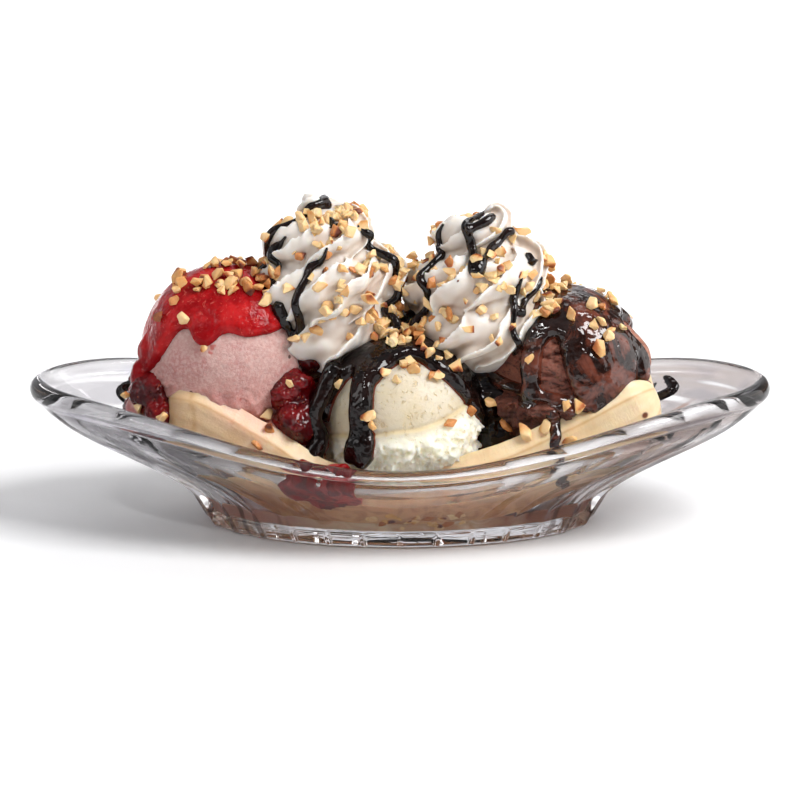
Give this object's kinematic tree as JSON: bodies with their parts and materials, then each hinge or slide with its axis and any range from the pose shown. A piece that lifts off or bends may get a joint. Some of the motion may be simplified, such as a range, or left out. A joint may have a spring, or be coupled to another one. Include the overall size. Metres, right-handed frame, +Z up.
{
  "type": "banana split in a glass dish",
  "caption": "Long footed glass boat dish holding a split banana, scoops of ice cream, fruit and fudge sauces, piped whipped cream and chopped peanuts.",
  "frame": {"origin": "middle of the foot, on the surface that the dish stands on", "axes": "+X along the length of the dish, with the chocolate scoop at +X and the strawberry scoop at -X; +Z up; the side shown is at -Y"},
  "size_m": [0.2346, 0.0976, 0.1045],
  "materials": {
    "glass": "clear pressed glass, smooth and bright",
    "banana": "moist peeled banana, stands in for fruit flesh",
    "strawberry_ice_cream": "frosted matte ice cream with specks",
    "vanilla_ice_cream": "smooth pitted face and ragged skirt",
    "chocolate_ice_cream": "matte ice cream, ragged where it tore",
    "strawberry_sauce": "wet translucent sauce with chopped peanuts",
    "crushed_strawberry": "wet crushed fruit with seeds",
    "fudge_sauce": "thick very glossy dark sauce with chopped peanuts",
    "whipped_cream": "soft satin cream with fudge strands and chopped peanuts",
    "melt": "wet melted ice cream",
    "chopped_peanuts": "pale chips with toasted brown edges"
  },
  "bodies": {
    "root": {"dish": "glass", "banana_front": "banana", "banana_back": "banana", "melted_ice_cream": "melt", "strawberry_scoop": "strawberry_ice_cream", "vanilla_scoop": "vanilla_ice_cream", "chocolate_scoop": "chocolate_ice_cream", "strawberry_slice_front": "crushed_strawberry", "strawberries_left": "crushed_strawberry", "strawberries_middle": "crushed_strawberry", "strawberries_back": "crushed_strawberry", "strawberry_sauce": "strawberry_sauce", "fudge_on_vanilla": "fudge_sauce", "fudge_on_chocolate": "fudge_sauce", "cream_left": "whipped_cream", "cream_right": "whipped_cream"}
  },
  "joints": []
}
